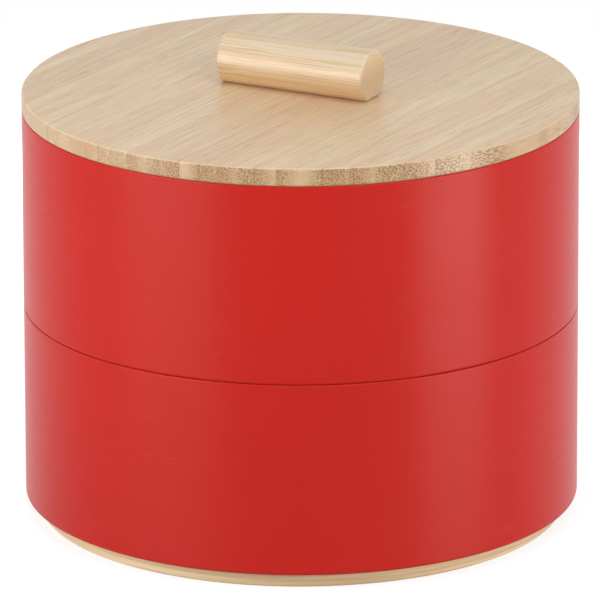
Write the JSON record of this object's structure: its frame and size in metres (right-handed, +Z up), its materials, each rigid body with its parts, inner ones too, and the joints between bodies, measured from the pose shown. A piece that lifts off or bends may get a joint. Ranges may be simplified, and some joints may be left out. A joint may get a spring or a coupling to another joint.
{
  "type": "tiered snack box",
  "caption": "Round stacking snack box in bamboo: red lacquered tier walls on inset natural foot rings, under a lift-off laminated lid with a dowel handle.",
  "frame": {"origin": "centre of the bottom foot ring's underside, on the table", "axes": "+Z up along the box's axis, +X along the lid's dowel handle"},
  "size_m": [0.21, 0.21, 0.1827],
  "materials": {
    "red_lacquer": "satin red lacquer on moulded bamboo",
    "bent_bamboo": "natural bamboo, satin clear coat",
    "bamboo_panel": "natural bamboo, satin clear coat",
    "bamboo_lid": "laminated natural bamboo, satin clear coat",
    "bamboo_dowel": "natural bamboo, satin clear coat",
    "screw_steel": "bright zinc"
  },
  "bodies": {
    "lower_tier": {"lower_wall": "red_lacquer", "lower_foot_ring": "bent_bamboo", "lower_base": "bamboo_panel"},
    "upper_tier": {"upper_wall": "red_lacquer", "upper_foot_ring": "bent_bamboo", "upper_base": "bamboo_panel"},
    "lid": {"lid_panel": "bamboo_lid", "lid_locating_ring": "bent_bamboo", "lid_handle": "bamboo_dowel", "handle_screw_left": "screw_steel", "handle_screw_right": "screw_steel"}
  },
  "joints": [
    {"name": "upper_tier_lift", "type": "slide", "parent": "lower_tier", "child": "upper_tier", "axis": [0, 0, 1], "range_m": [0, 0.12]},
    {"name": "lid_lift", "type": "slide", "parent": "upper_tier", "child": "lid", "axis": [0, 0, 1], "range_m": [0, 0.12]}
  ]
}
